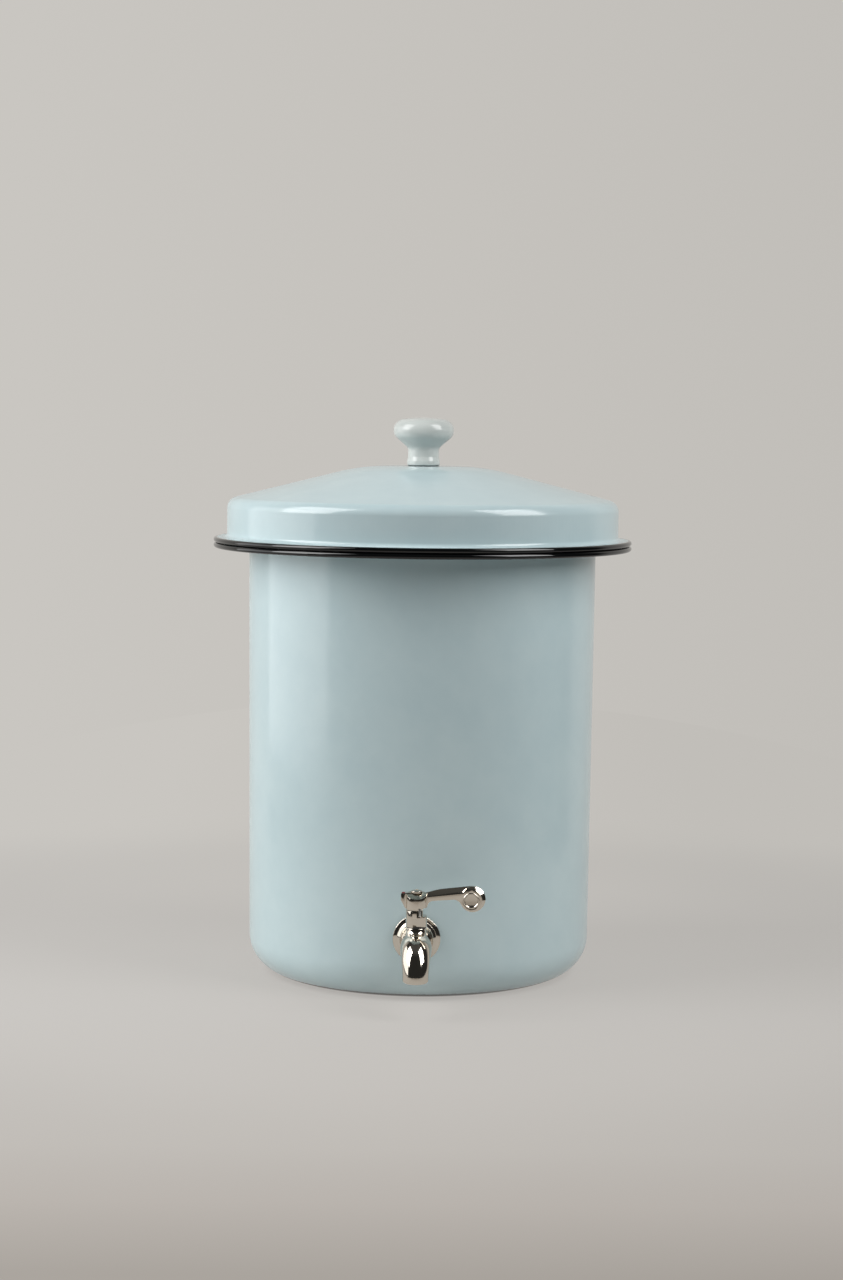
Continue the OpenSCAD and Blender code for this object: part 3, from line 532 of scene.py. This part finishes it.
def polished_casting():
    """Cast stainless steel, ground and polished by hand: a warm mirror with soft waves."""
    material, tree, shader = new_material("polished_cast_stainless_steel")
    place = add(tree, "ShaderNodeTexCoord").outputs["Object"]
    shader.inputs["Metallic"].default_value = 1.0
    tone = add(tree, "ShaderNodeTexNoise", Vector=place, Scale=90.0, Detail=2.0)
    plate = add(tree, "ShaderNodeValToRGB", Fac=tone.outputs["Fac"])
    plate.color_ramp.elements[0].color = colour("D2CABD")
    plate.color_ramp.elements[1].color = colour("DAD3C7")
    tree.links.new(plate.outputs["Color"], shader.inputs["Base Color"])
    # fine wipe marks of about a millimetre change the gloss a little
    wipe = add(tree, "ShaderNodeTexNoise", Vector=place, Scale=700.0, Detail=3.0)
    gloss = add(tree, "ShaderNodeMapRange", Value=wipe.outputs["Fac"], To_Min=0.05, To_Max=0.11)
    tree.links.new(gloss.outputs[0], shader.inputs["Roughness"])
    # hand polishing leaves shallow waves of 5 to 10 mm
    waves = add(tree, "ShaderNodeTexNoise", Vector=place, Scale=140.0, Detail=0.0)
    bump = add(tree, "ShaderNodeBump", Strength=0.25, Distance=0.00006, Height=waves.outputs["Fac"])
    tree.links.new(bump.outputs["Normal"], shader.inputs["Normal"])
    return material


def turned_stainless():
    """Turned stainless steel: grey and softly brushed round, for washers, nut, screw and pin."""
    material, tree, shader = new_material("turned_stainless_steel")
    place = add(tree, "ShaderNodeTexCoord").outputs["Object"]
    shader.inputs["Metallic"].default_value = 1.0
    # tool marks 0.3 mm apart
    marks = add(tree, "ShaderNodeTexNoise", Vector=place, Scale=2600.0, Detail=2.0)
    steel = add(tree, "ShaderNodeValToRGB", Fac=marks.outputs["Fac"])
    steel.color_ramp.elements[0].color = colour("B4B4B2")
    steel.color_ramp.elements[1].color = colour("C6C6C4")
    tree.links.new(steel.outputs["Color"], shader.inputs["Base Color"])
    gloss = add(tree, "ShaderNodeMapRange", Value=marks.outputs["Fac"], To_Min=0.2, To_Max=0.34)
    tree.links.new(gloss.outputs[0], shader.inputs["Roughness"])
    return material


def machined_brass():
    """Machined brass, unplated: a dull yellow with turning marks, for the knob's threaded insert."""
    material, tree, shader = new_material("machined_brass")
    place = add(tree, "ShaderNodeTexCoord").outputs["Object"]
    shader.inputs["Metallic"].default_value = 1.0
    marks = add(tree, "ShaderNodeTexNoise", Vector=place, Scale=2400.0, Detail=2.0)
    brass = add(tree, "ShaderNodeValToRGB", Fac=marks.outputs["Fac"])
    brass.color_ramp.elements[0].color = colour("B4924E")
    brass.color_ramp.elements[1].color = colour("C9A85F")
    tree.links.new(brass.outputs["Color"], shader.inputs["Base Color"])
    shader.inputs["Roughness"].default_value = 0.32
    return material


def moulded_knob():
    """Moulded urea or similar hard plastic: very pale and glossy."""
    material, tree, shader = new_material("moulded_plastic_pale_grey")
    place = add(tree, "ShaderNodeTexCoord").outputs["Object"]
    cloud = add(tree, "ShaderNodeTexNoise", Vector=place, Scale=60.0, Detail=2.0)
    pale = add(tree, "ShaderNodeValToRGB", Fac=cloud.outputs["Fac"])
    pale.color_ramp.elements[0].color = colour("C0C5C2")
    pale.color_ramp.elements[1].color = colour("C4C9C6")
    tree.links.new(pale.outputs["Color"], shader.inputs["Base Color"])
    shader.inputs["IOR"].default_value = 1.5
    gloss = add(tree, "ShaderNodeMapRange", Value=cloud.outputs["Fac"], To_Min=0.1, To_Max=0.16)
    tree.links.new(gloss.outputs[0], shader.inputs["Roughness"])
    peel = add(tree, "ShaderNodeTexNoise", Vector=place, Scale=260.0, Detail=0.0)
    bump = add(tree, "ShaderNodeBump", Strength=0.2, Distance=0.00003, Height=peel.outputs["Fac"])
    tree.links.new(bump.outputs["Normal"], shader.inputs["Normal"])
    return material


def moulded_polypropylene():
    """Injection-moulded polypropylene: white, satin, with a fine spark-eroded grain."""
    material, tree, shader = new_material("moulded_polypropylene_white")
    place = add(tree, "ShaderNodeTexCoord").outputs["Object"]
    grain = add(tree, "ShaderNodeTexNoise", Vector=place, Scale=1500.0, Detail=2.0)
    white = add(tree, "ShaderNodeValToRGB", Fac=grain.outputs["Fac"])
    white.color_ramp.elements[0].color = colour("E2E4DF")
    white.color_ramp.elements[1].color = colour("EBEDE8")
    tree.links.new(white.outputs["Color"], shader.inputs["Base Color"])
    shader.inputs["IOR"].default_value = 1.49
    shader.inputs["Roughness"].default_value = 0.42
    bump = add(tree, "ShaderNodeBump", Strength=0.3, Distance=0.00005, Height=grain.outputs["Fac"])
    tree.links.new(bump.outputs["Normal"], shader.inputs["Normal"])
    return material


def fired_clay():
    """Fired red clay with sawdust burnt out of it: matt, porous, mottled orange and brown."""
    material, tree, shader = new_material("fired_porous_clay")
    place = add(tree, "ShaderNodeTexCoord").outputs["Object"]
    # firing clouds of 30 to 60 mm over a grain of about a millimetre
    clouds = add(tree, "ShaderNodeTexNoise", Vector=place, Scale=20.0, Detail=4.0, Roughness=0.6)
    clay = add(tree, "ShaderNodeValToRGB", Fac=clouds.outputs["Fac"])
    clay.color_ramp.elements[0].position = 0.3
    clay.color_ramp.elements[0].color = colour("A8603C")
    clay.color_ramp.elements[1].position = 0.7
    clay.color_ramp.elements[1].color = colour("C27A50")
    pores = add(tree, "ShaderNodeTexVoronoi", Vector=place, Scale=520.0)
    # painted shade: the small pits that the bump presses in are darkened, as their hollows would be in shade
    pit_shade = add(
        tree, "ShaderNodeMapRange",
        Value=pores.outputs["Distance"], From_Min=0.1, From_Max=0.4, To_Min=0.5, To_Max=0.0,
    )
    with_pit_shade = add(
        tree, "ShaderNodeMix", {"data_type": "RGBA"},
        i0=pit_shade.outputs[0], i6=clay.outputs["Color"], i7=colour("7C4428"),
    )
    tree.links.new(with_pit_shade.outputs[2], shader.inputs["Base Color"])
    shader.inputs["Roughness"].default_value = 0.9
    bump = add(tree, "ShaderNodeBump", Strength=0.7, Distance=0.0003, Height=pores.outputs["Distance"])
    tree.links.new(bump.outputs["Normal"], shader.inputs["Normal"])
    return material


def moulded_rubber(name, dark, light):
    """Moulded rubber: matt with a faint bloom, for seals, gaskets and washers."""
    material, tree, shader = new_material(name)
    place = add(tree, "ShaderNodeTexCoord").outputs["Object"]
    bloom = add(tree, "ShaderNodeTexNoise", Vector=place, Scale=420.0, Detail=3.0)
    rubber = add(tree, "ShaderNodeValToRGB", Fac=bloom.outputs["Fac"])
    rubber.color_ramp.elements[0].color = colour(dark)
    rubber.color_ramp.elements[1].color = colour(light)
    tree.links.new(rubber.outputs["Color"], shader.inputs["Base Color"])
    shader.inputs["Roughness"].default_value = 0.6
    return material


def index_enamel():
    """A drop of dark red enamel paint, domed and glossy."""
    material, tree, shader = new_material("enamel_paint_dark_red")
    place = add(tree, "ShaderNodeTexCoord").outputs["Object"]
    depth = add(tree, "ShaderNodeTexNoise", Vector=place, Scale=900.0, Detail=1.0)
    red = add(tree, "ShaderNodeValToRGB", Fac=depth.outputs["Fac"])
    red.color_ramp.elements[0].color = colour("6E1418")
    red.color_ramp.elements[1].color = colour("84191E")
    tree.links.new(red.outputs["Color"], shader.inputs["Base Color"])
    shader.inputs["Roughness"].default_value = 0.22
    return material


# ---------------------------------------------------------------- stage, light and camera

PAPER_LEFT = colour("C9C6C1")
PAPER_RIGHT = colour("C1BEB9")

# Sizes and places on the stage are in metres, powers in watts
FLOOR_REACH = 2.0
FLOOR_CENTRE = (0, 0.2, 0)
FLOOR_WIDTH_SHARE = 0.38
FLOOR_HEM = 0.25
OBJECT_MIDDLE = (0, 0, 0.3)
# Tones that darken the floor towards the viewer, by their place between 1 m in front and 1 m behind
FLOOR_TONES = (
    (0.08, "DBD7D4"), (0.15, "F0ECEA"), (0.21, "F7F5F4"), (0.28, "F6F5F5"),
    (0.4, "F6F6F7"), (0.6, "F5F5F6"), (0.85, "FFFFFF"),
)
# The camera turns about the object's axis, looks slightly down, and leans a little
CAMERA_PLACE = (0, -2.286, 0.4821)
CAMERA_ORBIT = 0.5
CAMERA_DOWN = 4.845
CAMERA_LEAN = 0.638
SENSOR = 36
FRAME_PIXELS = 1280
FOCAL_PIXELS = 2636.96


def paper_seen(tree, across, width):
    """The backdrop's colour, a touch paler on the left than on the right."""
    side = add(tree, "ShaderNodeMapRange", Value=across, From_Min=-width, From_Max=width)
    return add(
        tree, "ShaderNodeMix", {"data_type": "RGBA"}, i0=side.outputs[0], i6=PAPER_LEFT, i7=PAPER_RIGHT,
    ).outputs[2]


def make_stage():
    """A long strip of pale paper that runs into the backdrop's colour, and darkens towards the viewer."""
    deselect()
    bpy.ops.mesh.primitive_circle_add(vertices=96, radius=FLOOR_REACH, fill_type="NGON", location=FLOOR_CENTRE)
    floor = bpy.context.object
    floor.name = floor.data.name = "studio_floor"
    bpy.ops.object.transform_apply(location=True, rotation=True, scale=True)
    bpy.ops.object.mode_set(mode="EDIT")
    bpy.ops.mesh.select_all(action="SELECT")
    bpy.ops.transform.resize(value=(FLOOR_WIDTH_SHARE, 1, 1), center_override=(0, 0, 0))
    bpy.ops.mesh.inset(thickness=FLOOR_HEM)
    bpy.ops.object.mode_set(mode="OBJECT")
    material, tree, shader = new_material("matt_studio_paper")
    place = add(tree, "ShaderNodeTexCoord").outputs["Object"]
    patches = add(tree, "ShaderNodeTexNoise", Vector=place, Scale=1.5, Detail=2.0)
    paint = add(tree, "ShaderNodeValToRGB", Fac=patches.outputs["Fac"])
    paint.color_ramp.elements[0].color = colour("D2CECA")
    paint.color_ramp.elements[1].color = colour("D5D1CD")
    shader.inputs["Roughness"].default_value = 0.8
    distance = add(tree, "ShaderNodeVectorMath", {"operation": "LENGTH"}, i0=place).outputs["Value"]
    # the paper stands in a pool of light and gives back less further off
    pool = add(
        tree, "ShaderNodeMapRange", {"interpolation_type": "SMOOTHSTEP"}, Value=distance, From_Min=0.4, From_Max=0.8,
    )
    lit = add(
        tree, "ShaderNodeMix", {"data_type": "RGBA"},
        i0=pool.outputs[0], i6=paint.outputs["Color"], i7=colour("929090"),
    )
    tree.links.new(lit.outputs[2], shader.inputs["Base Color"])
    # what the viewer and the metal see of it keeps a fifth of its own light near the object, and none far off
    fade = add(
        tree, "ShaderNodeMapRange", {"interpolation_type": "SMOOTHSTEP"},
        Value=distance, From_Min=0.3, From_Max=0.9, To_Min=0.8,
    )
    path = add(tree, "ShaderNodeLightPath").outputs
    mirrored = add(
        tree, "ShaderNodeMath", {"operation": "MAXIMUM"}, i0=path["Is Glossy Ray"], i1=path["Is Transmission Ray"],
    )
    seen = add(tree, "ShaderNodeMath", {"operation": "MAXIMUM"}, i0=path["Is Camera Ray"], i1=mirrored.outputs[0])
    share = add(tree, "ShaderNodeMath", {"operation": "MULTIPLY"}, i0=fade.outputs[0], i1=seen.outputs[0])
    where = add(tree, "ShaderNodeSeparateXYZ", Vector=place).outputs
    depth = add(tree, "ShaderNodeMapRange", Value=where["Y"], From_Min=-1.0, From_Max=1.0)
    shade = add(tree, "ShaderNodeValToRGB", Fac=depth.outputs[0])
    steps = shade.color_ramp.elements
    for step, (position, tone) in zip(steps, (FLOOR_TONES[0], FLOOR_TONES[-1])):
        step.position, step.color = position, colour(tone)
    for position, tone in FLOOR_TONES[1:-1]:
        steps.new(position).color = colour(tone)
    shaded = add(
        tree, "ShaderNodeMix", {"data_type": "RGBA", "blend_type": "MULTIPLY"},
        i0=1.0, i6=paper_seen(tree, where["X"], 0.35), i7=shade.outputs["Color"],
    )
    glow = add(tree, "ShaderNodeEmission", Color=shaded.outputs[2], Strength=1.0)
    blend = add(tree, "ShaderNodeMixShader", i0=share.outputs[0], i1=shader.outputs["BSDF"], i2=glow.outputs[0])
    output = next(n for n in tree.nodes if n.type == "OUTPUT_MATERIAL")
    tree.links.new(blend.outputs[0], output.inputs["Surface"])
    floor.data.materials.append(material)


def softbox(name, place, aim, width, height, power):
    """A rectangular studio lamp that faces its aim."""
    lamp = bpy.data.lights.new(name, "AREA")
    lamp.shape = "RECTANGLE"
    lamp.size = width
    lamp.size_y = height
    lamp.energy = power
    holder = bpy.data.objects.new(name, lamp)
    holder.location = place
    holder.rotation_euler = (Vector(aim) - Vector(place)).to_track_quat("-Z", "Y").to_euler()
    bpy.context.scene.collection.objects.link(holder)


def make_lights():
    """Two tall softboxes to the sides in a dark studio and a dim white panel on the left, with the pale
    backdrop only behind the object, so that the polished metal mirrors bright strips between dark ones."""
    world = bpy.data.worlds.new("dim_studio")
    world.use_nodes = True
    tree = world.node_tree
    tree.nodes.clear()
    facing = add(tree, "ShaderNodeTexCoord").outputs["Generated"]
    towards = add(tree, "ShaderNodeSeparateXYZ", Vector=facing).outputs
    behind = add(
        tree, "ShaderNodeMapRange", {"interpolation_type": "SMOOTHSTEP"},
        Value=towards["Y"], From_Min=0.35, From_Max=0.6,
    )
    under_ceiling = add(
        tree, "ShaderNodeMapRange", {"interpolation_type": "SMOOTHSTEP"},
        Value=towards["Z"], From_Min=0.7, From_Max=0.85, To_Min=1.0, To_Max=0.0,
    )
    paper = add(tree, "ShaderNodeMath", {"operation": "MULTIPLY"}, i0=behind.outputs[0], i1=under_ceiling.outputs[0])
    seen = add(tree, "ShaderNodeLightPath").outputs["Is Camera Ray"]
    pale = add(tree, "ShaderNodeMath", {"operation": "MAXIMUM"}, i0=paper.outputs[0], i1=seen)
    ceiling = add(
        tree, "ShaderNodeMapRange", {"interpolation_type": "SMOOTHSTEP"},
        Value=towards["Z"], From_Min=0.8, From_Max=0.95, To_Min=0.1, To_Max=0.3,
    )
    room = add(tree, "ShaderNodeBackground", Color=colour("8C8C8A"), Strength=ceiling.outputs[0])
    backdrop = add(tree, "ShaderNodeBackground", Color=paper_seen(tree, towards["X"], 0.16), Strength=1.0)
    mixed = add(tree, "ShaderNodeMixShader", i0=pale.outputs[0], i1=room.outputs[0], i2=backdrop.outputs[0])
    add(tree, "ShaderNodeOutputWorld", Surface=mixed.outputs[0])
    bpy.context.scene.world = world
    softbox("softbox_left", (-1.25, -0.48, 1.14), OBJECT_MIDDLE, width=0.95, height=1.3, power=23)
    softbox("softbox_right", (1.12, -0.66, 1.25), OBJECT_MIDDLE, width=0.8, height=1.3, power=22)
    softbox("white_panel_left", (-1.347, -0.05, 0.56), (0, 0, 0.56), width=1.4, height=1.08, power=7.5)


def make_camera():
    """The camera in front of the tap, a little above the lid."""
    camera = bpy.data.cameras.new("camera")
    camera.sensor_width = SENSOR
    camera.lens = FOCAL_PIXELS / FRAME_PIXELS * SENSOR
    holder = bpy.data.objects.new("camera", camera)
    bpy.context.scene.collection.objects.link(holder)
    orbit = Matrix.Rotation(math.radians(CAMERA_ORBIT), 4, "Z") @ Matrix.Translation(CAMERA_PLACE)
    tilt = Matrix.Rotation(math.radians(90 - CAMERA_DOWN), 4, "X")
    holder.matrix_world = orbit @ tilt @ Matrix.Rotation(math.radians(CAMERA_LEAN), 4, "Z")
    bpy.context.scene.camera = holder


# ---------------------------------------------------------------- assembly

enamel = vitreous_enamel()
tap_metal = polished_casting()
stainless = turned_stainless()
brass = machined_brass()
knob_plastic = moulded_knob()
polypropylene = moulded_polypropylene()
clay = fired_clay()
black_rubber = moulded_rubber("moulded_rubber_black", "1B1B1B", "262626")
grey_rubber = moulded_rubber("moulded_rubber_grey", "4A4E4E", "5A5E5E")
red_enamel = index_enamel()

FINISHES = {
    "bucket_base": enamel, "bucket_wall": enamel, "bucket_rim": enamel, "lid": enamel, "lid_rim": enamel,
    "filter_pot": clay, "filter_collar": polypropylene,
    "lid_knob": knob_plastic, "knob_insert": brass, "knob_washer": grey_rubber,
    "knob_inner_seal": black_rubber, "knob_inner_washer": stainless, "knob_screw": stainless,
    "tap_body": tap_metal, "tap_outer_seal": black_rubber, "tap_inner_seal": black_rubber,
    "tap_washer": stainless, "tap_nut": stainless, "plug_sleeve": polypropylene,
    "valve_plug": tap_metal, "bonnet_gasket": black_rubber, "bonnet": tap_metal,
    "stem_o_rings": black_rubber, "stop_pin": stainless, "thrust_washer": polypropylene,
    "lever": tap_metal, "lever_medallion": tap_metal, "lever_cap_screw": tap_metal, "tail_dot": red_enamel,
}
for node_name, finish in FINISHES.items():
    solid = frame["nodes"][node_name]
    solid.data.materials.clear()
    solid.data.materials.append(finish)

BODY_OF = {
    node_name: body
    for body, members in frame["record"]["behaviour"]["bodies"].items()
    for node_name in members
}


def fit_out(piece, *node_names):
    """Gives a finished piece the finish of the solids it stands for, and their place."""
    piece.data.materials.clear()
    piece.data.materials.append(FINISHES[node_names[0]])
    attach(piece, BODY_OF[node_names[0]])
    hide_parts(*node_names)


# Width in millimetres of the broken edge on each solid that is finished as it is
BROKEN_EDGES = {
    "lever": 0.35, "bonnet": 0.2, "lever_cap_screw": 0.15, "lever_medallion": 0.12, "tap_nut": 0.25,
    "filter_collar": 0.4, "tap_washer": 0.15, "stop_pin": 0.12, "tail_dot": 0.3, "knob_screw": 0.12,
    "filter_pot": 0.6,
}

make_stage()
fit_out(make_bucket(), "bucket_base", "bucket_wall", "bucket_rim")
fit_out(make_lid(), "lid", "lid_rim")
fit_out(make_knob(), "lid_knob")
fit_out(make_tap_casting(), "tap_body")
for node_name, edge in BROKEN_EDGES.items():
    fit_out(softened(node_name, edge), node_name)

make_lights()
make_camera()
bpy.context.scene.view_settings.view_transform = "Standard"
